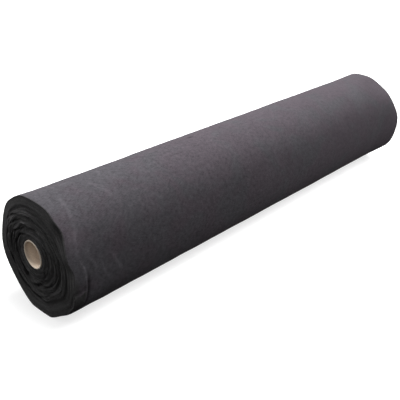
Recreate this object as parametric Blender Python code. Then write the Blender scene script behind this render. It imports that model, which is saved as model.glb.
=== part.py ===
# A roll of geotextile felt on a cardboard tube, lying on the ground.
#
# Metres, +Z up. The origin is on the ground under the middle of the roll, and the roll's
# axis runs along X. Its near end is at -X. A ray is an angle in degrees about the tube's
# axis: 0 points along +Y, 90 straight up and -90 straight down.
#
# The felt is one unbroken sheet, wound outwards from the tube with falling ray. It is drawn
# as thick wraps, each of which stands for two or three wraps of the real, thinner felt.
# Its last stretch lies loose on the roll and lifts on a line along the top of the far side.

import math

import bmesh
import bpy
from mathutils import Vector
from mathutils.bvhtree import BVHTree

# Felt
web_width = 1.100
roll_diameter = 0.2272
wrap_gap = 0.0006  # least clear gap between two wraps
turns = 24
rays_per_turn = 40
free_edge_ray = -27  # where the sheet ends, on the far side
tail_rays = 10  # how many of the rays the loose last stretch spans
foot_cut = 0.0005  # trimmed flat where the roll lies on the ground
edge_wander = 0.0035  # how far the wraps slid sideways while they were wound
edge_throw = 0.0090  # how much further the outermost wrap slid where it bulges
lip_reach = 0.0230  # the puckered lip at the near end runs in from the edge by this much
lip_height = 0.0028
clearance = 0.0003  # between pieces that touch

# Tube
core_bore = 0.0500  # a 48 mm scaffold tube passes through it as a spindle
core_wall = 0.0020
core_proud = 0.0050  # how far the tube stands out of the felt, at each end
core_rim_ease = 0.0004
core_rise = 0.0084  # how far the tube lies above the roll's middle
core_set_back = 0.0051  # and how far towards +Y

# Tape that holds the sheet's first edge on the tube
tape_width = 0.0380
tape_thickness = 0.0003
tape_end_margin = 0.0400
tape_lead = 0.0060  # how far it runs out ahead of the sheet's first edge

# Cutter and measuring
overrun = 0.0500
probe_lift = 0.00002

# Swellings and hollows of the roll's outline, all along it and then at each end:
# (ray, half width in degrees, height as a share of the radius)
foot_swell_shares = ((-90, 34, 0.030),)  # it has settled on the ground under its own weight
near_swell_shares = ((22, 40, -0.050), (-50, 42, 0.020), (-122, 26, -0.025))
far_swell_shares = ((120, 40, -0.035), (-178, 46, 0.045))
# The lip from the edge inwards: (share of its reach, share of its height)
lip_profile_shares = ((0.0, 1.0), (0.5, 0.85), (0.85, 0.7), (1.1, 0.0))
lip_ray, lip_half_width = -160, 36
# Sideways wander of the wraps: (share of the wander, wraps from crest to crest, crests a turn)
wander_shares = ((0.60, 5.3, 0), (0.40, 2.6, 1), (0.35, 9.0, 2))
throw_ray, throw_half_width, throw_set_share = 175, 62, 0.4
calm_from_share = 0.72  # the outer wraps, from this share of the turns on, lie more evenly

# Worked out from the above
roll_radius = roll_diameter / 2
core_radius = core_bore / 2 + core_wall
core_length = web_width + 2 * core_proud
core_centre = Vector((0.0, core_set_back, roll_radius + core_rise))
seat_radius = core_radius + tape_thickness + 2 * clearance  # of the sheet's inner face
mean_pitch = (roll_radius - seat_radius) / turns
ray_step = 360 / rays_per_turn
hinge_ray = free_edge_ray + tail_rays * ray_step
hinge_turn = turns - tail_rays / rays_per_turn


def clear_scene():
    for item in list(bpy.data.objects):
        bpy.data.objects.remove(item, do_unlink=True)


def bump(ray, centre, half_width):
    """1 at the centre ray, falling smoothly to 0 at half_width on either side."""
    away = abs((ray - centre + 180) % 360 - 180) / half_width
    return (1 + math.cos(math.pi * away)) / 2 if away < 1 else 0.0


def swell_at(ray, swell_shares):
    return sum(height * bump(ray, centre, width) for centre, width, height in swell_shares)


def outline_radius(ray, turns_back, near_share):
    """Distance from the tube's axis to the outermost wrap. near_share is 1 at the near end."""
    angle = math.radians(ray)
    towards = core_set_back * math.cos(angle) + core_rise * math.sin(angle)
    offset_squared = core_set_back ** 2 + core_rise ** 2
    circle = math.sqrt(roll_radius ** 2 - offset_squared + towards ** 2) - towards
    near = swell_at(ray, near_swell_shares)
    far = swell_at(ray, far_swell_shares)
    swell = swell_at(ray, foot_swell_shares) + near * near_share + far * (1 - near_share)
    radius = circle * (1 + swell) + mean_pitch * (0.5 - turns_back)
    if math.sin(angle) < 0:
        ground = (core_centre.z + foot_cut) / -math.sin(angle)
        radius = min(radius, ground)
    return radius


def find_wrap_thickness():
    """The thickest sheet that leaves wrap_gap where the wraps lie closest."""
    thinnest = []
    for step in range(rays_per_turn):
        ray = free_edge_ray + step * ray_step
        wraps = turns - step / rays_per_turn
        for near_share in (0, 1):
            room = outline_radius(ray, step / rays_per_turn, near_share) - seat_radius
            thinnest.append((room - wrap_gap * wraps) / (wraps + 1))
    return min(thinnest)


wrap_thickness = find_wrap_thickness()


def wrap_radius(wrap, near_share):
    """Radius of the sheet's outer face after this many wraps. They share each ray evenly."""
    turns_back = (turns - wrap) % 1
    outermost = outline_radius(wrap_ray(wrap), turns_back, near_share)
    first = seat_radius + wrap_thickness
    return first + (outermost - first) * wrap / (turns - turns_back)


def wrap_ray(wrap):
    return free_edge_ray + 360 * (turns - wrap)


def edge_shift(wrap):
    """How far along X the sheet slid at this wrap, the same at both of its edges."""
    ray = math.radians(wrap_ray(wrap))
    wander = 0
    for share, crest_wraps, crests in wander_shares:
        wander += share * math.sin(math.tau * wrap / crest_wraps + crests * ray)
    outer = max(0, wrap / turns - calm_from_share) / (1 - calm_from_share)
    throw = throw_set_share - bump(math.degrees(ray), throw_ray, throw_half_width)
    return edge_wander * wander * (1 - outer) + edge_throw * throw * outer ** 2


def lip_lift(wrap, across):
    """Height of the puckered lip over the outermost wrap, this far in from the near edge."""
    if wrap <= turns - 1:
        return 0.0
    place = across / lip_reach
    height = 0.0
    for (start, high), (end, low) in zip(lip_profile_shares, lip_profile_shares[1:]):
        if start <= place <= end:
            height = high + (low - high) * (place - start) / (end - start)
    return lip_height * height * bump(wrap_ray(wrap), lip_ray, lip_half_width)


def web_place(wrap, across):
    """Where a point of the flat sheet's outer face lies once wound, from the tube's middle."""
    near_share = 1 - across / web_width
    radius = wrap_radius(wrap, near_share) + lip_lift(wrap, across)
    ray = math.radians(wrap_ray(wrap))
    along = across - web_width / 2 + edge_shift(wrap)
    return Vector((along, radius * math.cos(ray), radius * math.sin(ray)))


def new_object(name, bm, location):
    mesh = bpy.data.meshes.new(name)
    bm.to_mesh(mesh)
    bm.free()
    obj = bpy.data.objects.new(name, mesh)
    obj.location = location
    bpy.context.collection.objects.link(obj)
    return obj


def settle(obj):
    """Replaces the modifiers by their result, with round parts smooth and edges crisp."""
    evaluated = obj.evaluated_get(bpy.context.evaluated_depsgraph_get())
    mesh = bpy.data.meshes.new_from_object(evaluated)
    obj.modifiers.clear()
    obj.data = mesh
    mesh.shade_smooth()
    mesh.set_sharp_from_angle(angle=math.radians(32))


def give_material(obj, colour, roughness):
    material = bpy.data.materials.new(obj.name + "_material")
    material.use_nodes = True
    shader = material.node_tree.nodes["Principled BSDF"]
    shader.inputs["Base Color"].default_value = (*colour, 1)
    shader.inputs["Roughness"].default_value = roughness
    shader.inputs["Metallic"].default_value = 0
    obj.data.materials.clear()
    obj.data.materials.append(material)


def flat_strip(segments, first_wrap, last_wrap, width):
    """A flat strip, cut into segments: X runs across it, and Y counts the wraps."""
    bm = bmesh.new()
    bmesh.ops.create_grid(bm, x_segments=1, y_segments=segments, size=0.5)
    for vert in bm.verts:
        across = (vert.co.x + 0.5) * width
        along = first_wrap + (vert.co.y + 0.5) * (last_wrap - first_wrap)
        vert.co = (across, along, 0)
    # one diagonal for all, so that the wraps still nest where the ends differ in outline
    bmesh.ops.triangulate(bm, faces=bm.faces, quad_method="FIXED")
    return bm


def thicken(obj, thickness):
    solid = obj.modifiers.new("thickness", "SOLIDIFY")
    solid.thickness = thickness
    solid.offset = -1
    solid.use_even_offset = True


def half_hinge_gap():
    """Wraps left out on each side of the hinge line, so that the slanted ends keep clear."""
    slant = wrap_thickness * math.tan(math.radians(ray_step / 2))
    return (clearance / 2 + slant) / (math.tau * roll_radius)


def wind(bm, origin):
    for vert in bm.verts:
        vert.co = web_place(vert.co.y, vert.co.x) - origin


def build_web():
    segments = round(hinge_turn * rays_per_turn)
    bm = flat_strip(segments, 0, hinge_turn, web_width)
    outermost = [face for face in bm.faces if face.calc_center_median().y > turns - 1]
    for share, _ in lip_profile_shares[1:]:
        geometry = {item for face in outermost for item in (face, *face.edges, *face.verts)}
        cut = bmesh.ops.bisect_plane(
            bm, geom=list(geometry), plane_co=(share * lip_reach, 0, 0), plane_no=(1, 0, 0))
        outermost = [item for item in cut["geom"] if isinstance(item, bmesh.types.BMFace)]
    for vert in bm.verts:
        vert.co.y = min(vert.co.y, hinge_turn - half_hinge_gap())
    bmesh.ops.triangulate(bm, faces=bm.faces)
    wind(bm, Vector())
    web = new_object("geotextile_web", bm, core_centre)
    thicken(web, wrap_thickness)
    trim_foot(web)
    settle(web)
    give_material(web, (0.055, 0.051, 0.056), 0.95)
    return web


def trim_foot(obj):
    """Cuts off whatever reaches below the ground."""
    bm = bmesh.new()
    bmesh.ops.create_cube(bm, size=1)
    size = (web_width + 2 * overrun, roll_diameter + 2 * overrun, overrun)
    bmesh.ops.scale(bm, vec=size, verts=bm.verts)
    cutter = new_object("ground_cutter", bm, (0, 0, -overrun / 2))
    cutter.hide_render = True
    cutter.display_type = "WIRE"
    trim = obj.modifiers.new("foot", "BOOLEAN")
    trim.operation = "DIFFERENCE"
    trim.object = cutter


def hinge_point():
    ray = math.radians(hinge_ray)
    radius = wrap_radius(hinge_turn, 0)
    return Vector((0, radius * math.cos(ray), radius * math.sin(ray)))


def build_tail():
    bm = flat_strip(tail_rays, hinge_turn, turns, web_width)
    for vert in bm.verts:
        vert.co.y = max(vert.co.y, hinge_turn + half_hinge_gap())
    wind(bm, hinge_point())
    tail = new_object("web_tail", bm, core_centre + hinge_point())
    thicken(tail, wrap_thickness)
    settle(tail)
    give_material(tail, (0.055, 0.051, 0.056), 0.95)
    return tail


def build_tape():
    """A strip along the tube, half of it under the sheet's first edge."""
    inner = core_radius + clearance
    degrees_per_metre = 360 / (math.tau * inner)
    segments = math.ceil(tape_width * degrees_per_metre / ray_step)
    lead = tape_lead * degrees_per_metre
    bm = flat_strip(segments, lead, lead - tape_width * degrees_per_metre, web_width)
    for vert in bm.verts:
        along = vert.co.x / web_width * (web_width - 2 * tape_end_margin)
        ray = math.radians(free_edge_ray + vert.co.y)
        reach = inner + tape_thickness
        vert.co = (along + tape_end_margin - web_width / 2, reach * math.cos(ray), reach * math.sin(ray))
    tape = new_object("starter_tape", bm, core_centre)
    thicken(tape, tape_thickness)
    settle(tape)
    give_material(tape, (0.62, 0.58, 0.48), 0.6)


def build_core():
    """The tube's wall in section, with eased rims, spun about X."""
    bore = core_bore / 2
    end = core_length / 2
    ease = core_rim_ease
    section = (
        (-end, bore + ease), (-end, core_radius - ease), (ease - end, core_radius),
        (end - ease, core_radius), (end, core_radius - ease), (end, bore + ease),
        (end - ease, bore), (ease - end, bore),
    )
    bm = bmesh.new()
    verts = [bm.verts.new((along, 0, -radius)) for along, radius in section]
    for first, second in zip(verts, verts[1:] + verts[:1]):
        bm.edges.new((first, second))
    bmesh.ops.spin(
        bm, geom=bm.verts[:] + bm.edges[:], cent=(0, 0, 0), axis=(1, 0, 0),
        angle=math.tau, steps=rays_per_turn, use_merge=True)
    bmesh.ops.recalc_face_normals(bm, faces=bm.faces)
    core = new_object("core_tube", bm, core_centre)
    settle(core)
    give_material(core, (0.62, 0.50, 0.38), 0.85)


def print_least_gap(pieces):
    """Looks outwards from the outer face of every wrap, and prints the nearest wrap above it."""
    verts = []
    faces = []
    probes = []
    for obj in pieces:
        first = len(verts)
        places = [vert.co + obj.location for vert in obj.data.vertices]
        verts += places
        for face in obj.data.polygons:
            faces.append([first + index for index in face.vertices])
            centre = face.center + obj.location
            outwards = centre - core_centre
            outwards.x = 0
            if face.normal.dot(outwards.normalized()) > 0.7:
                corners = [places[index].lerp(centre, 0.02) for index in face.vertices]
                probes += [(place, face.normal) for place in (centre, *corners)]
    tree = BVHTree.FromPolygons(verts, faces)
    gaps = []
    for place, normal in probes:
        distance = tree.ray_cast(place + normal * probe_lift, normal)[3]
        if distance is not None:
            gaps.append(distance + probe_lift)
    print(f"wrap thickness {1000 * wrap_thickness:.2f} mm, {len(gaps)} gaps measured")
    print(f"least gap of the winding to itself {1000 * min(gaps):.3f} mm")


def main():
    clear_scene()
    build_core()
    build_tape()
    web = build_web()
    tail = build_tail()
    print_least_gap((web, tail))
    print("hinge line at Y {:.5f}, Z {:.5f}".format(*(core_centre + hinge_point()).yz))


main()
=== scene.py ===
# Looks of a roll of geotextile felt on a cardboard tube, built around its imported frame.
#
# Metres, +Z up. The roll's axis runs along X, and its near end is at -X.
# A ray is an angle in degrees about the tube's axis: 0 points along +Y, 90 straight up.
# A wrap is a place along the felt, counted in turns from the tube outwards, with falling ray.
# A share, where nothing else is said, is a part of the wraps, counted from the tube.
# Across is a place over the felt's width, from its edge at the near end.

import math

import bmesh
import bpy
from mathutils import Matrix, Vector, noise


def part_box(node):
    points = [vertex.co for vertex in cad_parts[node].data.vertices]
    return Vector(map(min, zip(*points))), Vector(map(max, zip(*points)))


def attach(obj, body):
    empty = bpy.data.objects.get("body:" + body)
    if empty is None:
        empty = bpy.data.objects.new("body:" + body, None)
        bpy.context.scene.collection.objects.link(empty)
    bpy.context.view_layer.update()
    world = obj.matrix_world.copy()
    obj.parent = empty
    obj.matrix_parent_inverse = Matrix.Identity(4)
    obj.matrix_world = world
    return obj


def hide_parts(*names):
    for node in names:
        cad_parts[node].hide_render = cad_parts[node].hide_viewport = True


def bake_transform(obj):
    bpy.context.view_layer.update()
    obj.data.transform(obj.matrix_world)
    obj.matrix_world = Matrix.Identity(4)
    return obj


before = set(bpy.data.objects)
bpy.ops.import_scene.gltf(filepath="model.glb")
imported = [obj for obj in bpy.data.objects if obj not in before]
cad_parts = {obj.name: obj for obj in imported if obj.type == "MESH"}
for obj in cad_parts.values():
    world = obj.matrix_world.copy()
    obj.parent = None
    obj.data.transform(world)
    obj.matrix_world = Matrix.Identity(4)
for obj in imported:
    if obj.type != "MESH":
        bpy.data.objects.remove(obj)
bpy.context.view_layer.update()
print("frame loaded:", ", ".join(sorted(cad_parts)))


# Shader nodes

class Value:
    # One socket of a node, so that shader maths reads as plain Python
    def __init__(self, finish, socket):
        self.finish = finish
        self.socket = socket

    def maths(self, operation, *others):
        return self.finish.maths(operation, self, *others)

    def __add__(self, other):
        return self.maths("ADD", other)

    def __radd__(self, other):
        return self.finish.maths("ADD", other, self)

    def __sub__(self, other):
        return self.maths("SUBTRACT", other)

    def __rsub__(self, other):
        return self.finish.maths("SUBTRACT", other, self)

    def __mul__(self, other):
        return self.maths("MULTIPLY", other)

    def __rmul__(self, other):
        return self.finish.maths("MULTIPLY", other, self)

    def __truediv__(self, other):
        return self.maths("DIVIDE", other)

    def __rtruediv__(self, other):
        return self.finish.maths("DIVIDE", other, self)

    def __pow__(self, other):
        return self.maths("POWER", other)

    def __rpow__(self, other):
        return self.finish.maths("POWER", other, self)


class Finish:
    # The nodes of a material, or of the sky, and the shader that they end in
    def __init__(self, owner, shader="Principled BSDF"):
        owner.use_nodes = True
        self.owner = owner
        self.tree = owner.node_tree
        self.shader = self.tree.nodes[shader]

    def node(self, kind, settings=None, inputs=None, output=0):
        made = self.tree.nodes.new(kind)
        for name, setting in (settings or {}).items():
            setattr(made, name, setting)
        self.feed(made, inputs or {})
        return Value(self, made.outputs[output])

    def feed(self, made, inputs):
        for name, given in inputs.items():
            if isinstance(given, Value):
                self.tree.links.new(given.socket, made.inputs[name])
            elif isinstance(given, (tuple, list)) and made.inputs[name].type == "RGBA":
                made.inputs[name].default_value = (*given, 1)
            else:
                made.inputs[name].default_value = given

    def set(self, **inputs):
        self.feed(self.shader, {name.replace("_", " "): given for name, given in inputs.items()})

    def maths(self, operation, *values):
        return self.node("ShaderNodeMath", {"operation": operation}, dict(enumerate(values)))

    def noise(self, vector, scale, detail=2.0, roughness=0.5, distortion=0.0):
        return self.node("ShaderNodeTexNoise", {}, {
            "Vector": vector, "Scale": scale, "Detail": detail,
            "Roughness": roughness, "Distortion": distortion})

    def mapped(self, vector, place=(0, 0, 0), turn=(0, 0, 0), scale=(1, 1, 1)):
        return self.node("ShaderNodeMapping", {}, {
            "Vector": vector, "Location": place, "Rotation": turn, "Scale": scale})

    def between(self, value, low, high, first=0.0, last=1.0):
        # value from low to high becomes first to last, smoothly
        return self.node("ShaderNodeMapRange", {"interpolation_type": "SMOOTHSTEP"}, {
            "Value": value, "From Min": low, "From Max": high, "To Min": first, "To Max": last})

    def mix(self, share, first, second):
        return self.node("ShaderNodeMix", {"data_type": "RGBA"}, {0: share, 6: first, 7: second}, 2)

    def brighten(self, colour, factor):
        return self.node(
            "ShaderNodeVectorMath", {"operation": "SCALE"}, {0: colour, "Scale": factor})

    def parts(self, vector):
        split = self.node("ShaderNodeSeparateXYZ", {}, {0: vector}).socket.node
        return [Value(self, socket) for socket in split.outputs]

    def painted(self, attribute):
        # A number that is stored at each vertex of a mesh
        return self.node("ShaderNodeAttribute", {"attribute_name": attribute}, output=2)

    def bump(self, height, strength):
        return self.node("ShaderNodeBump", {}, {
            "Height": height, "Distance": 1.0, "Strength": strength})


def newFinish(name):
    return Finish(bpy.data.materials.new(name))


# The felt's finish, on its own flat width and length in metres

felt = {
    "neutral": (0.0613, 0.0582, 0.0646),
    "warm": (0.0638, 0.0550, 0.0632),
    "cutEdge": (0.0540, 0.0530, 0.0540),  # greyer than the faces, and darker as painted shade of the crevices at the ends
    "turned": (0.0550, 0.0540, 0.0545),  # at the wraps' ends and where the margin is turned under
    # Patches, clumps and fibres: their scale, and how much they lighten and darken the felt
    "patchScale": 17, "patchShade": 0.32,
    "clumpScale": 120, "clumpShade": 0.95,
    "fibreScale": (190, 1300, 1),  # along and across a lay of fibres
    "fibreTurns": (38, -52),  # degrees, one for each lay
    "fibreMiddle": 0.55, "fibreShade": 1.9,
    # Warm patches, placed as in the photograph, between these levels of their noise
    "hueScale": 13, "huePlace": (3.18, 1.7555, 0), "hueLevels": (0.38, 0.62),
    # Changes over the width: (from here, to here, from this, to this)
    "hueRun": (0.0, 0.45, -0.09, 0.05),  # greyer near the near end
    # painted light, lighter towards the far end
    "paintedLightRun": (0.02, 0.60, 0.96, 1.10),
    "grainRun": (0.30, 1.10, 1.0, 0.42),  # more even towards the far end
    "cutEdgeReach": 0.0030,
    "cutEdgeItself": 0.00005,
    "creviceShadeReach": 0.0012, "creviceShadeLevel": 0.55,  # painted shade on the faces right beside a cut edge, in the crevices between the wraps
    "roughness": (0.86, 0.98), "sheen": 0.02,
    "fibreRelief": 0.00035, "clumpRelief": 0.0005, "reliefStrength": 0.8,
}


def feltFinish():
    paint = newFinish("needledFelt")
    flat = paint.node("ShaderNodeUVMap", {"uv_map": "flatFelt"})
    patches = paint.noise(flat, felt["patchScale"], detail=3.0, roughness=0.6, distortion=0.6)
    hues = paint.noise(paint.mapped(flat, place=felt["huePlace"]), felt["hueScale"],
                       detail=3.0, roughness=0.55, distortion=0.8)
    clumps = paint.noise(flat, felt["clumpScale"], detail=3.0, roughness=0.6)
    first, second = [
        paint.noise(paint.mapped(flat, turn=(0, 0, math.radians(turn)), scale=felt["fibreScale"]),
                    1.0, detail=3.0)
        for turn in felt["fibreTurns"]]
    fibres = first.maths("MAXIMUM", second)
    across = paint.parts(flat)[0]
    fromEdge = across.maths("MINIMUM", winding["webWidth"] - across)

    warmth = paint.between(
        hues + paint.between(across, *felt["hueRun"]), *felt["hueLevels"])
    colour = paint.mix(warmth, felt["neutral"], felt["warm"])
    colour = paint.mix(
        paint.between(fromEdge, 0.0, felt["cutEdgeReach"]), felt["cutEdge"], colour)
    colour = paint.mix(paint.painted("turnedUnder"), colour, felt["turned"])

    fine = (clumps - 0.5) * felt["clumpShade"] + (fibres - felt["fibreMiddle"]) * felt["fibreShade"]
    shade = 1 + (patches - 0.5) * felt["patchShade"] + fine * paint.between(across, *felt["grainRun"])
    shade = shade * paint.between(across, *felt["paintedLightRun"])
    # painted shade on the faces beside the cut edges
    margin = (fromEdge.maths("GREATER_THAN", felt["cutEdgeItself"])
              * fromEdge.maths("LESS_THAN", felt["creviceShadeReach"]))
    shade = shade * (1 - margin * (1 - felt["creviceShadeLevel"]))
    # painted light and shade, with streaks and bands of tone, stored at each vertex
    shade = shade * (1 + paint.painted("paintedLightAndTone"))

    relief = fibres * felt["fibreRelief"] + clumps * felt["clumpRelief"]
    paint.set(
        Base_Color=paint.brighten(colour, shade),
        Roughness=paint.between(clumps, 0.2, 0.8, *felt["roughness"]),
        Sheen_Weight=felt["sheen"], Sheen_Roughness=0.5, Specular_IOR_Level=0.0,
        Normal=paint.bump(relief, felt["reliefStrength"]))
    return paint.owner


# The roll's shape, as in the frame, and the felt on it

coreLow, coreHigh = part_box("core_tube")
coreCentre = (coreLow + coreHigh) / 2

winding = {
    "diameter": 0.2272,
    "webWidth": 1.100,
    "wraps": 56,
    "thickness": 0.0012,
    "seat": 0.0009,  # from the tube to the first wrap, over the starter tape
    "freeEdgeRay": -27,
    "endReach": 0.085,  # how far in from each end its own swellings run out
    # (ray, half width in degrees, height as a share of the radius), all along and at the ends
    "swells": ((-90, 34, 0.030), (62, 22, 0.006)),
    "nearSwells": ((80, 24, 0.034), (18, 34, -0.052), (-24, 30, 0.022), (-70, 28, 0.034),
                   (-124, 26, -0.046)),
    "farSwells": ((76, 18, 0.030), (122, 36, -0.053), (-175, 40, 0.060), (-144, 24, 0.038)),
}

edges = {
    "wander": 0.0024,  # how far the wraps slid sideways while they were wound
    # (part of the whole, share from crest to crest, crests round the roll)
    "wanderCrests": ((0.60, 0.221, 0), (0.40, 0.108, 1), (0.35, 0.375, 2)),
    "calmFrom": 0.45,
    # How much further the outer wraps slid: (ray, half width in degrees, slide)
    "throws": ((108, 28, 0.0038), (157, 24, -0.0050), (189, 26, -0.0058), (-88, 30, -0.0020)),
    "nearThrows": ((112, 30, 0.0006), (122, 18, 0.0018), (140, 16, 0.0048), (165, 13, -0.0045)),
    "innerSlide": -0.0046,  # the innermost wraps slid almost to the tube's end
    "innerShare": 0.25,
    "lean": (40, 110, -0.0095),  # a blunt cone at the near end: (ray, half width, how far)
    "leanShare": 0.5,  # it is full from here on
    "ridge": 0.0009,  # how far single wraps stand out in thin ridges
    "crevice": 0.0024,  # depth of the dark hollows beside them
    "ridgeLevel": (0, 0.16), "creviceLevel": (0.27, 0.15),  # of their noise: (middle, half width)
    "ridgePace": 0.55,  # how soon one ridge follows another, from wrap to wrap
    "ridgeDrift": 0.75,  # how much the ridges change round the roll
    "ridgeFull": 0.06,
    "stray": 0.0005, "strayPace": 1.7, "strayDrift": 0.6,  # of single wraps
    "farStart": 40,  # sets the far end's noise apart from the near end's
    # Beside a gap, the wraps inside it draw back and the next ones stand out:
    # (wraps outwards from it, half width, part of its width)
    "drawnBack": (-0.3, 1.3, 0.8), "standOut": ((-3.0, 1.4, 0.35), (2.2, 1.4, 0.245)),
    # Ridges and streaks run out towards the outer wraps, sooner and lower beside one ray:
    # (ray, half width, how much)
    "calmShare": 0.72, "calmFade": 0.10, "calmSide": (190, 100, 0.14), "quiet": (190, 75, 0.45),
}

tones = {
    # Painted shade in a gap of this width, and painted highlights on the crests beside it:
    # (wraps outwards from it, half width, how much)
    "gapWidth": 0.003, "gapDark": (0.3, 2.2, 0.95), "darkest": 0.12,
    "innerCrest": (-3.4, 1.6, 0.32), "outerCrest": (3.6, 1.6, 0.224),
    # Where wraps stand out and hide a gap in the outer wraps, its painted shade lies further out:
    # (ray, half width, wraps)
    "hidden": (-4, 26, 2.6), "hiddenFrom": 0.6,
    # Streaks along single wraps and bands of a few: (how strong, pace, drift), as for ridges
    "streaks": (0.38, 0.62, 1.3),
    "bands": (0.42, 0.27, 0.8), "bandStart": 9.3, "bandFade": (0.82, 0.10),
    # Painted light on the wraps' ends on one side, and a little painted shade elsewhere
    "paintedLightSide": (38, 85, 0.54), "paintedLightFull": 0.4, "paintedDim": 0.10, "paintedDimFull": 0.6,
    # Painted shade on the wraps beneath where the outer wraps are drawn back
    "drawn": (142, 36, 0.62), "drawnFrom": (0.80, 0.12),
    # The ends are as warm as the body at one side, and greyer elsewhere: (ray, half width, how much)
    "warmEnds": (100, 60, 0.85),
    "greyFrom": (0.010, 0.030),  # further in, the wraps beneath look like the outermost
    "low": (216, 20, 0.50), "groundShadeReach": 0.22,  # painted shade near the ground, at the near end
}

kinks = {
    # The wraps are bent in flat stretches between corners at their ends
    "corners": (96, 63, 28, -8, -42, -78, -112, -150, -186, -222),
    "twist": 15, "twistPace": 1.7,  # degrees that the corners wander from the tube outwards
    "farTwist": 19, "farTurn": 150,  # degrees that the far end's corners and buckles are turned
    "strength": 0.45, "blunt": 0.6,  # the part of a corner's height that is left
    "start": 0.06, "full": 0.30, "fade": 0.55, "end": 0.85,  # shares
    "reach": 0.060,
    # Sharp buckles: (ray, half width, share, its half width, height)
    "buckles": (
        (104, 11, 0.36, 0.24, 0.0022), (84, 10, 0.34, 0.24, -0.0020),
        (68, 10, 0.36, 0.26, 0.0026), (48, 11, 0.40, 0.26, -0.0020),
        (30, 12, 0.42, 0.26, 0.0022), (-96, 12, 0.52, 0.24, 0.0022),
        (-118, 12, 0.50, 0.24, -0.0018), (124, 12, 0.56, 0.20, 0.0016)),
}

gaps = {
    # Lines along which the wraps part at an end, each given by points on it:
    # (ray, share inside it, width of the gap)
    "near": (
        ((-184, 0.44, 0.0012), (-160, 0.46, 0.0010), (-138, 0.47, 0.0010), (-125, 0.51, 0.0010),
         (-107, 0.55, 0.0010), (-93, 0.63, 0.0012), (-87, 0.67, 0.0020), (-70, 0.64, 0.0026),
         (-59, 0.68, 0.0030), (-49, 0.71, 0.0024), (-39, 0.66, 0.0028), (-22, 0.62, 0.0028),
         (-11, 0.68, 0.0034), (5, 0.69, 0.0030), (18, 0.71, 0.0028), (32, 0.62, 0.0018),
         (46, 0.55, 0.0016), (60, 0.50, 0.0012), (75, 0.45, 0.0008), (105, 0.50, 0.0006),
         (132, 0.52, 0.0006), (165, 0.54, 0.0012), (176, 0.47, 0.0016)),
        ((146, 0.32, 0), (160, 0.34, 0.0008), (169, 0.37, 0.0012), (184, 0.33, 0.0014),
         (199, 0.32, 0.0013), (214, 0.34, 0.0013), (230, 0.38, 0.0012), (244, 0.41, 0.0014),
         (259, 0.34, 0.0022), (268, 0.36, 0.0032), (280, 0.43, 0.0022), (290, 0.47, 0)),
        ((-67, 0.38, 0), (-59, 0.36, 0.0034), (-49, 0.35, 0.0034), (-38, 0.34, 0.0020),
         (-22, 0.32, 0.0024), (-9, 0.31, 0.0020), (5, 0.32, 0.0026), (14, 0.30, 0.0024),
         (24, 0.24, 0.0026), (42, 0.21, 0.0028), (50, 0.17, 0.0018), (62, 0.15, 0.0010),
         (82, 0.13, 0)),
        ((-18, 0.53, 0), (-6, 0.53, 0.0014), (9, 0.53, 0.0022), (20, 0.45, 0.0016),
         (31, 0.38, 0.0018), (48, 0.32, 0.0014), (64, 0.25, 0)),
        ((213, 0.10, 0), (225, 0.12, 0.0018), (236, 0.18, 0.0020), (244, 0.21, 0.0018),
         (260, 0.26, 0)),
        ((22, 0.86, 0), (32, 0.80, 0.0010), (41, 0.72, 0.0012), (52, 0.66, 0.0018),
         (62, 0.61, 0.0008), (74, 0.57, 0)),
    ),
    "far": (
        ((20, 0.42, 0), (45, 0.38, 0.0022), (70, 0.33, 0.0024), (100, 0.36, 0)),
        ((120, 0.30, 0), (145, 0.26, 0.0020), (178, 0.30, 0)),
        ((-110, 0.52, 0), (-80, 0.50, 0.0020), (-50, 0.55, 0.0018), (-20, 0.50, 0)),
        ((-190, 0.66, 0), (-160, 0.62, 0.0014), (-130, 0.60, 0)),
    ),
    "step": 0.020,  # share over which the wraps cross a gap
    "fade": 0.28,  # share to either side that closes up to make room for it
    "insidePart": 0.4,  # of a gap's width, what the wraps inside it make room for
    "reach": 0.050,
}

rollRadius = winding["diameter"] / 2
seatRadius = (coreHigh.z - coreLow.z) / 2 + winding["seat"]
pitch = (rollRadius - seatRadius) / winding["wraps"]
coreBack, coreRise = coreCentre.y, coreCentre.z - rollRadius


def smooth(value, start=0, span=1):
    # 0 up to the start, rising smoothly to 1 over the span
    part = min(1, max(0, (value - start) / span))
    return part * part * (3 - 2 * part)


def tent(value, middle=0, halfWidth=1):
    # 1 in the middle, falling straight to 0 at halfWidth on either side
    return max(0.0, 1 - abs(value - middle) / halfWidth)


def hump(ray, middle, halfWidth):
    # 1 at the middle ray, falling smoothly to 0 at halfWidth on either side
    away = abs((ray - middle + 180) % 360 - 180) / halfWidth
    return (1 + math.cos(math.pi * away)) / 2 if away < 1 else 0.0


def humps(ray, several):
    # The sum of humps, each given as (ray, half width, height)
    return sum(height * hump(ray, middle, halfWidth) for middle, halfWidth, height in several)


def rayOf(wrap):
    return winding["freeEdgeRay"] + 360 * (winding["wraps"] - wrap)


def atNearEnd(across):
    return across < winding["webWidth"] / 2


def fromEnd(across):
    return min(across, winding["webWidth"] - across)


def wrapNoise(wrap, ray, pace, drift, start=0):
    # Changes with this pace from wrap to wrap, and with this drift round the roll
    turn = math.radians(ray)
    return noise.noise(Vector((wrap * pace + start, drift * math.cos(turn), drift * math.sin(turn))))


def outlineRadius(ray, turnsBack, across):
    # From the tube's axis to the outermost wrap
    angle = math.radians(ray)
    towards = coreBack * math.cos(angle) + coreRise * math.sin(angle)
    circle = math.sqrt(rollRadius ** 2 - coreBack ** 2 - coreRise ** 2 + towards ** 2) - towards
    nearPart = 1 - smooth(across, 0, winding["endReach"])
    farPart = 1 - smooth(winding["webWidth"] - across, 0, winding["endReach"])
    swell = (humps(ray, winding["swells"]) + nearPart * humps(ray, winding["nearSwells"])
             + farPart * humps(ray, winding["farSwells"]))
    radius = circle * (1 + swell) + pitch * (0.5 - turnsBack)
    if math.sin(angle) < 0:
        radius = min(radius, coreCentre.z / -math.sin(angle))  # it lies on the ground
    return radius


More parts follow.
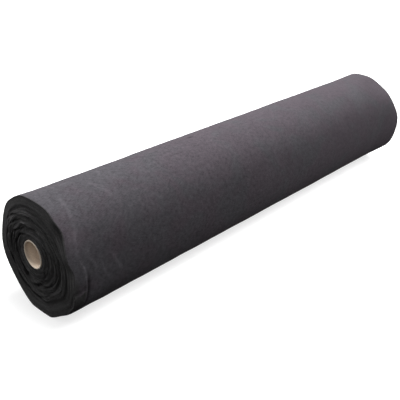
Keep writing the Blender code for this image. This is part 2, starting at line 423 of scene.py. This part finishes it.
def gapsAt(ray, across):
    # The gaps met at this ray, as (share inside, width here)
    left = 1 - smooth(fromEnd(across), 0, gaps["reach"])
    met = []
    if not left:
        return met
    for line in gaps["near" if atNearEnd(across) else "far"]:
        turned = line[0][0] + (ray - line[0][0]) % 360
        for (rayA, insideA, widthA), (rayB, insideB, widthB) in zip(line, line[1:]):
            if rayA <= turned < rayB:
                part = (turned - rayA) / (rayB - rayA)
                met.append((insideA + (insideB - insideA) * part,
                            left * (widthA + (widthB - widthA) * part)))
    return met


def gapLift(wrap, ray, across):
    # How far the gaps push the wraps outside them out, and those inside them in
    share = wrap / winding["wraps"]
    lift = 0
    for inside, width in gapsAt(ray, across):
        crossed = smooth(share, inside - gaps["step"] / 2, gaps["step"])
        lift += width * tent(share, inside, gaps["fade"]) * (crossed - gaps["insidePart"])
    return lift


def gapShift(wrap, ray, across):
    # How far the wraps beside a gap draw back from the end (+) or stand out (-)
    shift = 0
    middle, halfWidth, part = edges["drawnBack"]
    for inside, width in gapsAt(ray, across):
        away = wrap - inside * winding["wraps"]
        drawn = part * tent(away, middle, halfWidth)
        risen = sum(much * tent(away, place, reach) for place, reach, much in edges["standOut"])
        shift += width * (drawn - risen)
    return shift


def kinkLift(wrap, ray, across, radius):
    # How far the wraps' kinks at an end push them out (+) or in (-)
    share = wrap / winding["wraps"]
    left = 1 - smooth(fromEnd(across), 0, kinks["reach"])
    if not left:
        return 0.0
    farTwist, farTurn = (0, 0) if atNearEnd(across) else (kinks["farTwist"], kinks["farTurn"])
    twist = kinks["twist"] * math.sin(math.tau * share * kinks["twistPace"]) + farTwist
    corners = sorted((corner + twist) % 360 for corner in kinks["corners"])
    turned = ray % 360
    below = max((corner for corner in corners if corner <= turned), default=corners[-1] - 360)
    above = min((corner for corner in corners if corner > turned), default=corners[0] + 360)
    half = math.radians(above - below) / 2
    corner = (1 - math.cos(half)) / 2
    chord = math.cos(half) / math.cos(math.radians(turned - (above + below) / 2))
    flat = min(chord - math.cos(half) - corner, corner * kinks["blunt"])
    level = smooth(share, kinks["start"], kinks["full"] - kinks["start"])
    level *= 1 - smooth(share, kinks["fade"], kinks["end"] - kinks["fade"])
    lift = kinks["strength"] * level * radius * flat
    for middle, halfWidth, depth, reach, height in kinks["buckles"]:
        away = (turned - middle - farTurn + 180) % 360 - 180
        lift += height * tent(away, 0, halfWidth) * (1 - smooth(abs(share - depth), 0, reach))
    return lift * left


def wrapRadius(wrap, across):
    # The wraps share the room at each ray evenly
    turnsBack = (winding["wraps"] - wrap) % 1
    ray = rayOf(wrap)
    outermost = outlineRadius(ray, turnsBack, across)
    first = seatRadius + winding["thickness"]
    radius = first + (outermost - first) * wrap / (winding["wraps"] - turnsBack)
    return radius + gapLift(wrap, ray, across) + kinkLift(wrap, ray, across, radius)


def edgeShift(wrap, across):
    # How far along X the felt slid at this wrap
    ray = rayOf(wrap)
    share = wrap / winding["wraps"]
    wander = sum(
        part * math.sin(math.tau * share / crest + crests * math.radians(ray))
        for part, crest, crests in edges["wanderCrests"])
    outer = max(0, share - edges["calmFrom"]) / (1 - edges["calmFrom"])
    nearPart = 1 - smooth(2 * across / winding["webWidth"])
    thrown = humps(ray, edges["throws"]) + nearPart * humps(ray, edges["nearThrows"])
    grown = smooth(share, 0, edges["innerShare"])
    shift = edges["wander"] * wander * (1 - outer) * grown + thrown * outer ** 2
    shift += edges["innerSlide"] * (1 - grown)
    if atNearEnd(across):
        shift += humps(ray, [edges["lean"]]) * (1 - share) * smooth(share, 0, edges["leanShare"])
    return shift + ridgeShift(wrap, ray, across) + gapShift(wrap, ray, across)


def ridgeShift(wrap, ray, across):
    # Single wraps stand out in thin ridges beside dark hollows, which wander from wrap to wrap
    share = wrap / winding["wraps"]
    start = 0 if atNearEnd(across) else edges["farStart"]
    found = wrapNoise(wrap, ray, edges["ridgePace"], edges["ridgeDrift"], start)
    shift = (edges["crevice"] * tent(found, *edges["creviceLevel"])
             - edges["ridge"] * tent(found, *edges["ridgeLevel"]))
    stray = noise.noise(Vector(
        (wrap * edges["strayPace"], math.radians(ray) * edges["strayDrift"], start)))
    level = smooth(share, 0, edges["ridgeFull"]) * linesLeft(share, ray)
    return level * shift + edges["stray"] * stray


def linesLeft(share, ray):
    # How much of the fine lines on the face is left here
    calm = edges["calmShare"] - humps(ray, [edges["calmSide"]])
    return (1 - smooth(share, calm, edges["calmFade"])) * (1 - humps(ray, [edges["quiet"]]))


def feltPlace(wrap, across):
    angle = math.radians(rayOf(wrap))
    radius = wrapRadius(wrap, across) + surfaceRelief(wrap, across)
    along = across - winding["webWidth"] / 2 + edgeShift(wrap, across)
    return Vector((along, radius * math.cos(angle), radius * math.sin(angle))) + coreCentre


# What lies unevenly in the outermost wraps. Rays run from 0 to 360 here.

relief = {
    "swell": 0.0007,  # soft waves over the body
    "swellScale": 11, "swellRoughness": 0.9, "swellLacunarity": 2.1, "swellOctaves": 3,
    "still": (-90, 40),  # but none on the ground: (ray, half width)
    "inWraps": 3,  # they run out this many wraps down
    # The outer wraps bulge at the near end: (ray, half width, height)
    "bulge": (212, 48, 0.0036), "bulgeReach": 0.080, "bulgeWraps": 10,
}

crease = {
    # It runs round beside the near edge. Its places are in its widths, away from the edge,
    # and its falls and fades are (start, span)
    "across": 0.0257, "width": 0.0078, "depth": 0.0060,
    "ray": 186, "halfWidth": 26,
    "bows": (0.26, 0.50),  # how much nearer the edge it is at its ends, as a part of its place
    "deepRay": 202, "steepness": 1.7,
    "fall": (0, 0.16), "rise": (0.45, 0.65),
    "rim": 0.0018, "rimPlace": -0.1, "rimHalfWidth": 0.45,
    "reach": 1.5,
    "pressStep": 0.00125, "pressWraps": 5,  # how much less each wrap below gives way under it
    "rimHighlight": (188, 34, 0.35), "rimHighlightPlace": (-0.15, 0.38),  # its rim has a painted highlight
}

fold = {
    # It runs from the edge to the crease, and below it the margin is turned under
    "rays": (199, 192.5),  # at the edge and at the crease
    "depth": 0.0022,
    # The pocket above it, in degrees from it, and the lip beside it: (place, half width, part)
    "pocket": (-14, 12.5), "pocketClose": 7, "lip": (1, 2.6, 0.35),
    "shallow": (0.004, 0.014, 0.5),  # across the width: (start, span, by how much)
    "pocketEnd": (-0.8, 0.7),  # at the crease, in its widths
    # The turned margin: how far it is turned in at its edge, and where it begins and ends
    "turnDepth": 0.0040, "turnSpan": 3,
    "wedge": (176, 14), "wedgeReach": (0.004, 0.009),
    "turnEnd": (226, 10), "turnReach": (-0.35, 0.3), "turnLimit": 1,
    # A painted highlight along it and painted shade beside it: (place, half width, how much), and
    # their ends
    "light": (1.0, 1.8, 0.45), "highlightEnd": (-0.1, 0.3),
    "dark": (-2.6, 2.6, 0.35), "shadeEnd": (-0.5, 0.4),
}

wrinkles = {
    # Half width, height, how much painted highlight lies on their crests, and (across, ray) of points
    # on them
    "lines": (
        (0.0080, 0.0010, 0.22,
         ((0.0352, 104), (0.0344, 124), (0.0301, 135), (0.0235, 149), (0.0212, 158))),
        (0.0220, 0.0000, 0.13, ((0.0140, 136), (0.0280, 166))),
        (0.0065, 0.0005, 0.13, ((0.0235, 150), (0.0208, 162), (0.0212, 177), (0.0236, 189))),
        (0.0026, 0.0003, 0.20, ((0.0214, 166), (0.0228, 178), (0.0246, 190))),
        (0.0046, 0.0010, 0.26, ((0.0423, 158), (0.0421, 171), (0.0466, 185))),
        (0.0046, 0.0010, 0.26, ((0.0549, 171), (0.0630, 185), (0.0770, 198))),
        (0.0046, 0.0011, 0.32, ((0.0760, 166), (0.0880, 180), (0.1060, 195))),
        (0.0090, 0.0008, 0.14, ((0.0600, 88), (0.0824, 85), (0.1000, 87))),
        (0.0070, 0.0009, 0.16, ((0.1060, 94), (0.1109, 106), (0.1269, 125), (0.1320, 140))),
        (0.0080, 0.0007, 0.12, ((0.1540, 78), (0.1493, 98), (0.1640, 116))),
    ),
    "taper": 0.014,  # over which they run out at their ends
    "nearby": 0.05,  # further than this from its ends, a line isn't looked at
    # Small dents: (across, ray, half length, half width, depth, how much painted shade lies in them)
    "dents": ((0.402, 85, 0.014, 0.0080, 0.0012, 0.45), (1.007, 88, 0.012, 0.0070, 0.0010, 0.25)),
}


def creasePlace(ray, across):
    # How far past the crease, in its widths
    bow = ((ray - crease["ray"]) / crease["halfWidth"]) ** 2
    bow *= crease["bows"][ray > crease["ray"]]
    return (across - crease["across"] * (1 - bow)) / crease["width"]


def foldAt(across):
    # The fold's ray at this place
    atEdge, atCrease = fold["rays"]
    return atEdge + (atCrease - atEdge) * across / crease["across"]


def turnedShare(ray, across):
    # 1 where the margin between the edge and the crease is turned under, below the fold
    place = creasePlace(ray, across)
    if place > fold["turnLimit"]:
        return 0.0
    below = smooth(ray, foldAt(across), fold["turnSpan"])
    wedge = smooth(ray, *fold["wedge"]) * (1 - smooth(across, *fold["wedgeReach"]))
    around = max(below, wedge) * (1 - smooth(ray, *fold["turnEnd"]))
    return around * (1 - smooth(place, *fold["turnReach"]))


def puckerHeight(ray, across):
    # The crease's cleft and rim, the pocket above the fold and the margin turned in below it
    place = creasePlace(ray, across)
    if place > crease["reach"]:
        return 0.0
    around = min(1, crease["steepness"] * hump(ray, crease["deepRay"], crease["halfWidth"]))
    cleft = smooth(place, *crease["fall"]) * (1 - smooth(place, *crease["rise"]))
    rim = 1 - smooth(abs(place - crease["rimPlace"]), 0, crease["rimHalfWidth"])
    pocketStart, pocketSpan = fold["pocket"]
    falling = (ray - foldAt(across) - pocketStart) / pocketSpan
    pocket = smooth(falling) ** 2 * (1 - smooth((falling - 1) * fold["pocketClose"]))
    lipPlace, lipHalfWidth, lipPart = fold["lip"]
    pocket -= lipPart * hump(ray, foldAt(across) + lipPlace, lipHalfWidth)
    shallowStart, shallowSpan, shallower = fold["shallow"]
    pocket *= 1 - shallower * smooth(across, shallowStart, shallowSpan)
    pocket *= 1 - smooth(place, *fold["pocketEnd"])
    turned = turnedShare(ray, across) * (1 - across / crease["across"])
    return (around * (crease["rim"] * rim - crease["depth"] * cleft)
            - fold["depth"] * pocket - fold["turnDepth"] * turned)


def wrinklesAt(ray, across):
    # What the wrinkles and dents add here: (height, painted highlight (+) or painted shade (-))
    height, light = 0, 0
    point = Vector((across, math.radians(ray) * rollRadius))
    for halfWidth, high, crestHighlight, places in wrinkles["lines"]:
        if not places[0][0] - wrinkles["nearby"] < across < places[-1][0] + wrinkles["nearby"]:
            continue
        corners = [Vector((place, math.radians(at) * rollRadius)) for place, at in places]
        whole = sum((last - first).length for first, last in zip(corners, corners[1:]))
        run, nearest, runThere = 0, halfWidth, 0
        for first, last in zip(corners, corners[1:]):
            line = last - first
            part = min(1, max(0, (point - first).dot(line) / line.length_squared))
            away = (point - first - line * part).length
            if away < nearest:
                nearest, runThere = away, run + part * line.length
            run += line.length
        if nearest < halfWidth:
            level = (1 + math.cos(math.pi * nearest / halfWidth)) / 2
            level *= smooth(min(runThere, whole - runThere), 0, wrinkles["taper"])
            height += high * level
            light += crestHighlight * level
    for place, dentRay, halfLength, halfWidth, deep, dark in wrinkles["dents"]:
        around = math.radians(ray - dentRay) * rollRadius
        away = math.hypot((across - place) / halfLength, around / halfWidth)
        height -= deep * (1 - smooth(away))
        light -= dark * (1 - smooth(away))
    return height, light


def surfaceRelief(wrap, across):
    # How much higher the felt lies here than a plain winding would
    depth = winding["wraps"] - wrap
    ray = rayOf(wrap) % 360
    height = humps(ray, [relief["bulge"]]) * (1 - smooth(across, 0, relief["bulgeReach"]))
    height *= 1 - smooth(depth, 0, relief["bulgeWraps"])
    below = math.floor(depth)
    if below < crease["pressWraps"]:
        pucker = puckerHeight(ray, across)
        height += pucker if not below else min(0, pucker + below * crease["pressStep"])
    if depth > relief["inWraps"]:
        return height
    angle = math.radians(ray)
    around = Vector((across, rollRadius * math.cos(angle), rollRadius * math.sin(angle)))
    waves = relief["swell"] * (1 - hump(ray, *relief["still"])) * noise.fractal(
        around * relief["swellScale"],
        relief["swellRoughness"], relief["swellLacunarity"], relief["swellOctaves"])
    height += waves * (1 - smooth(depth, 1, relief["inWraps"] - 1))
    if depth < 1:
        height += wrinklesAt(ray, across)[0]
    return height


# Painted light and shade on the felt, its tone, and how grey it is, from place to place

def endPart(across):
    # 1 at the wraps' ends, 0 further in
    return 1 - smooth(fromEnd(across), *tones["greyFrom"])


def lineTone(wrap, ray, across):
    # Painted shade in the gaps and painted highlights on the crests beside them, and the streaks and
    # bands on the face
    share = wrap / winding["wraps"]
    tone = 1
    for inside, width in gapsAt(ray, across):
        away = wrap - inside * winding["wraps"]
        seen = away - (humps(ray, [tones["hidden"]]) if inside > tones["hiddenFrom"] else 0)
        added = sum(sign * much * tent(place, middle, halfWidth)
                    for sign, place, (middle, halfWidth, much) in (
                        (-1, seen, tones["gapDark"]), (1, away, tones["innerCrest"]),
                        (1, seen, tones["outerCrest"])))
        tone += width / tones["gapWidth"] * added
    tone = max(tones["darkest"], tone)
    streak, streakPace, streakDrift = tones["streaks"]
    tone += streak * wrapNoise(wrap, ray, streakPace, streakDrift) * linesLeft(share, ray)
    band, bandPace, bandDrift = tones["bands"]
    banded = wrapNoise(wrap, ray, bandPace, bandDrift, tones["bandStart"])
    return tone + band * banded * (1 - smooth(share, *tones["bandFade"]))


def outerTone(ray, across):
    # Painted highlights and shade at the crease, the fold, the wrinkles and the dents of the
    # outermost wrap, and painted shade near the ground
    place = creasePlace(ray, across)
    tone = humps(ray, [crease["rimHighlight"]]) * tent(place, *crease["rimHighlightPlace"])
    tone += wrinklesAt(ray, across)[1]
    above = ray - foldAt(across)
    for sign, side, end in ((1, "light", "highlightEnd"), (-1, "dark", "shadeEnd")):
        middle, halfWidth, much = fold[side]
        tone += sign * much * tent(above, middle, halfWidth) * (1 - smooth(place, *fold[end]))
    return tone - humps(ray, [tones["low"]]) * (1 - smooth(across, 0, tones["groundShadeReach"]))


def toneAt(wrap, across):
    # How much lighter (+) or darker (-) the felt is painted here: painted light and shade, and
    # streaks and bands of tone
    ray = rayOf(wrap)
    share = wrap / winding["wraps"]
    tone = lineTone(wrap, ray, across)
    if wrap < winding["wraps"] - 1:
        # painted light on one side of the wraps' ends, a little painted shade elsewhere, and painted
        # shade under drawn-back outer wraps
        tone *= (1 + humps(ray, [tones["paintedLightSide"]]) * smooth(share, 0, tones["paintedLightFull"])
                 - tones["paintedDim"] * smooth(share, 0, tones["paintedDimFull"]))
        tone *= 1 - humps(ray, [tones["drawn"]]) * smooth(share, *tones["drawnFrom"])
        tone = 1 + (tone - 1) * endPart(across)
    else:
        tone += outerTone(ray % 360, across)
    return max(-0.9, tone - 1)


def greyAt(wrap, across):
    # How grey the felt is here, from 0 to 1
    if wrap > winding["wraps"] - 1:
        return turnedShare(rayOf(wrap) % 360, across)
    return (1 - humps(rayOf(wrap), [tones["warmEnds"]])) * endPart(across)


# The felt's pieces: flat grids, wound up by feltPlace and then thickened inwards

def spaced(start, *runs):
    # Places from the start on, each run given as (end, step)
    places = []
    for end, step in runs:
        count = max(1, round(abs(end - start) / step))
        places += [start + (end - start) * index / count for index in range(count)]
        start = end
    return places + [start]


def feltLength(wrap):
    # Length of the felt from its first edge to this wrap
    return math.tau * (seatRadius * wrap + pitch * wrap ** 2 / 2)


def woundFelt(name, acrossPlaces, wrapPlaces):
    bm = bmesh.new()
    columns, rows = len(acrossPlaces) - 1, len(wrapPlaces) - 1
    bmesh.ops.create_grid(bm, x_segments=columns, y_segments=rows, size=0.5)
    for vert in bm.verts:
        column, row = round((vert.co.x + 0.5) * columns), round((vert.co.y + 0.5) * rows)
        vert.co = (acrossPlaces[column], wrapPlaces[row], 0)
    flat = bm.loops.layers.uv.new("flatFelt")
    for face in bm.faces:
        for corner in face.loops:
            corner[flat].uv = (corner.vert.co.x, feltLength(corner.vert.co.y))
    turned = bm.verts.layers.float.new("turnedUnder")
    paintedLightAndTone = bm.verts.layers.float.new("paintedLightAndTone")
    for vert in bm.verts:
        across, wrap = vert.co.x, vert.co.y
        vert[turned] = greyAt(wrap, across)
        vert[paintedLightAndTone] = toneAt(wrap, across)
        vert.co = feltPlace(wrap, across)
    piece = newPiece(name, bm)
    solid = piece.modifiers.new("thickness", "SOLIDIFY")
    solid.thickness = winding["thickness"]
    solid.offset = -1
    solid.use_even_offset = True
    return settle(piece, sharpAngle=50)


def newPiece(name, bm):
    mesh = bpy.data.meshes.new(name)
    bm.to_mesh(mesh)
    bm.free()
    piece = bpy.data.objects.new(name, mesh)
    bpy.context.scene.collection.objects.link(piece)
    return piece


def settle(piece, sharpAngle):
    # Replaces the modifiers by their result
    evaluated = piece.evaluated_get(bpy.context.evaluated_depsgraph_get())
    mesh = bpy.data.meshes.new_from_object(evaluated)
    piece.modifiers.clear()
    piece.data = mesh
    mesh.shade_smooth()
    mesh.set_sharp_from_angle(angle=math.radians(sharpAngle))
    return piece


wraps, fullWidth = winding["wraps"], winding["webWidth"]
degree = 1 / 360  # of a wrap

seams = {
    "middle": 27.2,  # wrap where the first half of the winding hands over to the second
    "pressed": 51.4,  # wrap where that one hands over to those pressed in under the crease
    "under": 54.4,  # wrap where these hand over to a finer one
    "outer": wraps - 297 * degree,  # and that one to the outermost wrap, on the ground
    "gap": 0.00015 / (math.tau * rollRadius),
}

# Places over the width, finer at the ends and round the creases, wrinkles and dents
innerAcross = spaced(
    0, (0.002, 0.002), (0.012, 0.010), (0.050, 0.019), (0.085, 0.035),
    (fullWidth - 0.085, fullWidth), (fullWidth - 0.050, 0.035), (fullWidth - 0.012, 0.019),
    (fullWidth - 0.002, 0.010), (fullWidth, 0.002))
pressedAcross = spaced(
    0, (0.003, 0.003), (0.015, 0.004), (0.037, 0.002), (0.085, 0.010),
    (fullWidth - 0.085, fullWidth), (fullWidth - 0.002, 0.020), (fullWidth, 0.002))
fineAcross = spaced(
    0, (0.003, 0.0015), (0.015, 0.002), (0.036, 0.001), (0.132, 0.003), (0.180, 0.006),
    (0.384, 0.010), (0.420, 0.004), (0.980, 0.010), (fullWidth - 0.003, 0.006),
    (fullWidth, 0.0015))
outerWraps = spaced(
    seams["outer"] + seams["gap"],
    (wraps - 257 * degree, 2 * degree), (wraps - 200 * degree, degree),
    (wraps - 170 * degree, 1.5 * degree), (wraps - 12 * degree, 2 * degree), (wraps, degree))

feltPaint = feltFinish()
firstWinding = woundFelt(
    "firstWinding", innerAcross, spaced(0, (seams["middle"] - seams["gap"], 4 * degree)))
secondWinding = woundFelt(
    "secondWinding", innerAcross,
    spaced(seams["middle"], (seams["pressed"] - seams["gap"], 4 * degree)))
pressedWraps = woundFelt(
    "pressedWraps", pressedAcross,
    spaced(seams["pressed"], (seams["under"] - seams["gap"], 3 * degree)))
underWrap = woundFelt(
    "underWrap", fineAcross, spaced(seams["under"], (seams["outer"], 2.4 * degree)))
outerWrap = woundFelt("outerWrap", fineAcross, outerWraps)
for piece in (firstWinding, secondWinding, pressedWraps, underWrap, outerWrap):
    piece.data.materials.append(feltPaint)
    print(piece.name, len(piece.data.vertices), "points", len(piece.data.polygons), "faces")
for piece in (firstWinding, secondWinding, pressedWraps, underWrap):
    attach(piece, "roll")
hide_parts("geotextile_web")
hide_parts("web_tail")
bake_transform(outerWrap)
for piece, first, last in ((firstWinding, 0, seams["middle"]),
                           (secondWinding, seams["middle"], seams["pressed"]),
                           (pressedWraps, seams["pressed"], seams["under"]),
                           (underWrap, seams["under"], seams["outer"]),
                           (outerWrap, seams["outer"], wraps)):
    length = feltLength(last) - feltLength(first)
    print(f"{piece.name}: {length:.2f} m of felt")


# The cardboard tube

tube = {
    "wall": 0.0020,
    "rimRound": 0.0005, "rimSegments": 3,
    "steps": 144,
    "endPart": 0.012, "endStep": 0.004, "bodyStep": 0.15,
    "squeeze": 0.05, "squeezeReach": 0.15,  # how much narrower the near end is
    "squeezeRise": 0.2,  # of that, how much it is higher
    "wear": 0.0004, "wearReach": 0.010, "wearScale": 2.2,  # of the ends, out of true
    "board": (0.72, 0.61, 0.50),
    "boardDark": (0.60, 0.48, 0.37),
    "rim": (0.64, 0.57, 0.49),
    "rimReach": (0.0001, 0.0004),  # in from the ends, over which the rim's look runs out
    "plyLead": 0.092,  # along the tube for each turn of a ply
    "seam": (0.490, 0.499),  # parts of a ply's width between which its seam lies
    "layer": 0.0005,  # thickness of a ply, seen on the rim
    "fibreScale": (260, 900, 900), "blotchScale": 55.0,
    "blotchShade": 0.22, "seamShade": 0.15, "layerShade": 0.08,
    # In from the ends, painted light just inside the bore and painted shade deeper in: (from here, to
    # here, from this, to this)
    "paintedBoreLightAndShade": (0.002, 0.010, 0.80, 1.18), "paintedDim": (0.022, 0.050, 0.0, 0.40),
    "roughness": (0.75, 0.92), "gloss": 0.25,
    "fibreRelief": 0.0002, "seamRelief": 0.0006, "layerRelief": 0.0001, "reliefStrength": 0.6,
}


def cardboardFinish():
    paint = newFinish("cardboard")
    place = paint.mapped(
        paint.node("ShaderNodeTexCoord", output=3), place=(0, -coreCentre.y, -coreCentre.z))
    along, back, up = paint.parts(place)
    turn = up.maths("ARCTAN2", back) / math.tau
    radius = (back * back + up * up) ** 0.5
    depth = coreHigh.x - along.maths("ABSOLUTE")
    ply = (turn + along / tube["plyLead"]).maths("FRACT")
    seam = paint.between((ply - 0.5).maths("ABSOLUTE"), *tube["seam"])
    fibres = paint.noise(
        paint.mapped(place, scale=tube["fibreScale"]), 1.0, detail=4.0, roughness=0.65)
    blotches = paint.noise(place, tube["blotchScale"], detail=3.0)
    onRim = 1 - paint.between(depth, *tube["rimReach"])
    layers = (radius * (math.tau / tube["layer"])).maths("SINE") * onRim
    colour = paint.mix(paint.between(fibres, 0.3, 0.7), tube["boardDark"], tube["board"])
    colour = paint.mix(onRim, colour, tube["rim"])
    # painted light just inside the bore's ends, painted shade deeper in
    paintedBoreLightAndShade = paint.between(depth, *tube["paintedBoreLightAndShade"]) - paint.between(depth, *tube["paintedDim"])
    shade = (1 + (blotches - 0.5) * tube["blotchShade"]
             - seam * tube["seamShade"] + layers * tube["layerShade"])
    relief = (fibres * tube["fibreRelief"]
              - seam * tube["seamRelief"] + layers * tube["layerRelief"])
    paint.set(
        Base_Color=paint.brighten(colour, shade * (paintedBoreLightAndShade + (1 - paintedBoreLightAndShade) * onRim)),
        Roughness=paint.between(fibres, 0.2, 0.8, *tube["roughness"]),
        Specular_IOR_Level=tube["gloss"],
        Normal=paint.bump(relief, tube["reliefStrength"]))
    return paint.owner


def cardboardTube():
    # The wall's section, its rims rounded, spun about the roll's axis
    bm = bmesh.new()
    outer = (coreHigh.z - coreLow.z) / 2
    bore = outer - tube["wall"]
    end = coreHigh.x
    lengthwise = spaced(-end, (-end + tube["endPart"], tube["endStep"]),
                        (end - tube["endPart"], tube["bodyStep"]), (end, tube["endStep"]))
    section = [(place, outer) for place in lengthwise]
    section += [(place, bore) for place in reversed(lengthwise)]
    verts = [bm.verts.new((place, 0, radius)) for place, radius in section]
    for first, second in zip(verts, verts[1:] + verts[:1]):
        bm.edges.new((first, second))
    bmesh.ops.spin(bm, geom=bm.verts[:] + bm.edges[:], cent=(0, 0, 0), axis=(1, 0, 0),
                   angle=math.tau, steps=tube["steps"], use_merge=True)
    bmesh.ops.recalc_face_normals(bm, faces=bm.faces)
    rims = [edge for edge in bm.edges if edge.calc_face_angle() > 1]
    bmesh.ops.bevel(bm, geom=rims, offset=tube["rimRound"], offset_type="OFFSET",
                    affect="EDGES", segments=tube["rimSegments"], profile=0.5, material=-1)
    for vert in bm.verts:
        angle = math.atan2(vert.co.z, vert.co.y)
        atEnd = smooth(abs(vert.co.x), end - tube["wearReach"], tube["wearReach"])
        around = Vector((math.cos(angle), math.sin(angle), math.copysign(5, vert.co.x)))
        dent = noise.noise(around * tube["wearScale"])
        vert.co.x -= math.copysign(tube["wear"], vert.co.x) * atEnd * max(0, dent)
        squeezed = tube["squeeze"] * smooth(
            -vert.co.x, end - tube["squeezeReach"], tube["squeezeReach"])
        vert.co.y *= 1 - squeezed
        vert.co.z *= 1 + tube["squeezeRise"] * squeezed
        vert.co += coreCentre
    piece = newPiece("cardboardTube", bm)
    piece.data.materials.append(cardboardFinish())
    return settle(piece, sharpAngle=60)


tubePiece = cardboardTube()
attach(tubePiece, "roll")
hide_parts("core_tube")
print("cardboard tube made")


# The starter tape, out of sight under the first wrap

paperTape = {
    "dark": (0.52, 0.46, 0.36), "light": (0.68, 0.62, 0.50),
    "fibreScale": (900, 160, 160),
    "roughness": (0.5, 0.7),
    "relief": 0.0002, "reliefStrength": 0.5,
}


def tapeFinish():
    paint = newFinish("creasedPaperTape")
    place = paint.node("ShaderNodeTexCoord", output=3)
    fibres = paint.noise(
        paint.mapped(place, scale=paperTape["fibreScale"]), 1.0, detail=3.0)
    paint.set(
        Base_Color=paint.mix(fibres, paperTape["dark"], paperTape["light"]),
        Roughness=paint.between(fibres, 0.2, 0.8, *paperTape["roughness"]),
        Normal=paint.bump(fibres * paperTape["relief"], paperTape["reliefStrength"]))
    return paint.owner


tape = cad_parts["starter_tape"]
tape.data.materials.clear()
tape.data.materials.append(tapeFinish())
print("starter tape finished")


# Floor, light and camera

studio = {
    "floorSize": 120, "floorCells": 61,
    "floorFlat": 15, "floorRise": 3,  # beyond this distance it rises to its rim like a cove
    "floorDrop": 0.0002,
    "floorTone": 0.40, "floorGlow": 0.68,
    "skyStrength": 0.83,
    "skyLean": 0.32,  # how much brighter it is towards +X, as a part
    # Wide, soft suns, their spread, tilt and lean in degrees. A tilt is from straight up towards
    # the far side of the roll, and a lean towards +X.
    "key": {"strength": 6.37, "spread": 36, "tilt": 30, "lean": 0},
    # The floor has its own, so that the shadow is narrow and lies beyond the near end too
    "floorSun": {"strength": 9.0, "spread": 56, "tilt": -12, "lean": 28},
    "fillPower": 2.6, "fillSize": 0.5,
    "fillPlace": (0.6, -0.9, 0.4), "fillAim": (0.3, -0.1, 0.12),
}


def layFloor():
    bm = bmesh.new()
    cells = studio["floorCells"]
    bmesh.ops.create_grid(bm, x_segments=cells, y_segments=cells, size=studio["floorSize"] / 2)
    cove = studio["floorSize"] / 2 - studio["floorFlat"]
    for vert in bm.verts:
        rise = smooth(vert.co.length, studio["floorFlat"], cove)
        vert.co.z = studio["floorRise"] * rise - studio["floorDrop"]
    floor = newPiece("floor", bm)
    paint = newFinish("paleFloor")
    paint.set(Base_Color=(studio["floorTone"],) * 3, Roughness=0.9, Specular_IOR_Level=0.0,
              Emission_Color=(1, 1, 1), Emission_Strength=studio["floorGlow"])
    floor.data.materials.append(paint.owner)
    floor.visible_diffuse = False
    floor.visible_glossy = False
    return floor


def hangLamp(name, kind, strength):
    data = bpy.data.lights.new(name, kind)
    data.energy = strength
    lamp = bpy.data.objects.new(name, data)
    bpy.context.scene.collection.objects.link(lamp)
    return lamp


def hangSun(name, floor, state):
    # A sun that lights either the floor alone (INCLUDE) or all but the floor (EXCLUDE)
    given = studio[name]
    sun = hangLamp(name, "SUN", given["strength"])
    sun.data.angle = math.radians(given["spread"])
    sun.rotation_euler = (-math.radians(given["tilt"]), math.radians(given["lean"]), 0)
    reach = bpy.data.collections.new(name + "Reach")
    reach.objects.link(floor)
    reach.collection_objects[0].light_linking.link_state = state
    sun.light_linking.receiver_collection = reach


def lightStudio(floor):
    world = bpy.data.worlds.new("studio")
    bpy.context.scene.world = world
    sky = Finish(world, "Background")
    towardsX, _, upwards = sky.parts(sky.node("ShaderNodeTexCoord"))
    brightness = upwards.maths("GREATER_THAN", 0.0) * (1 + towardsX * studio["skyLean"])
    sky.set(Color=(1, 1, 1), Strength=brightness * studio["skyStrength"])
    hangSun("key", floor, "EXCLUDE")
    hangSun("floorSun", floor, "INCLUDE")
    fill = hangLamp("fill", "AREA", studio["fillPower"])
    fill.data.size = studio["fillSize"]
    fill.location = studio["fillPlace"]
    aim = Vector(studio["fillAim"]) - fill.location
    fill.rotation_euler = aim.to_track_quat("-Z", "Y").to_euler()


view = {
    "place": (-1.0319, -0.8386, 0.6829),
    "down": 26.18,  # degrees below level
    "heading": -47.01,  # degrees from +Y
    "lens": 618.6 / 400,  # focal length as a part of the picture's width
}


def placeCamera():
    camera = bpy.data.cameras.new("camera")
    camera.lens = view["lens"] * camera.sensor_width
    holder = bpy.data.objects.new("camera", camera)
    holder.location = view["place"]
    holder.rotation_euler = (math.radians(90 - view["down"]), 0, math.radians(view["heading"]))
    bpy.context.scene.collection.objects.link(holder)
    bpy.context.scene.camera = holder
    bpy.context.scene.view_settings.view_transform = "Standard"


lightStudio(layFloor())
placeCamera()
print("studio set")
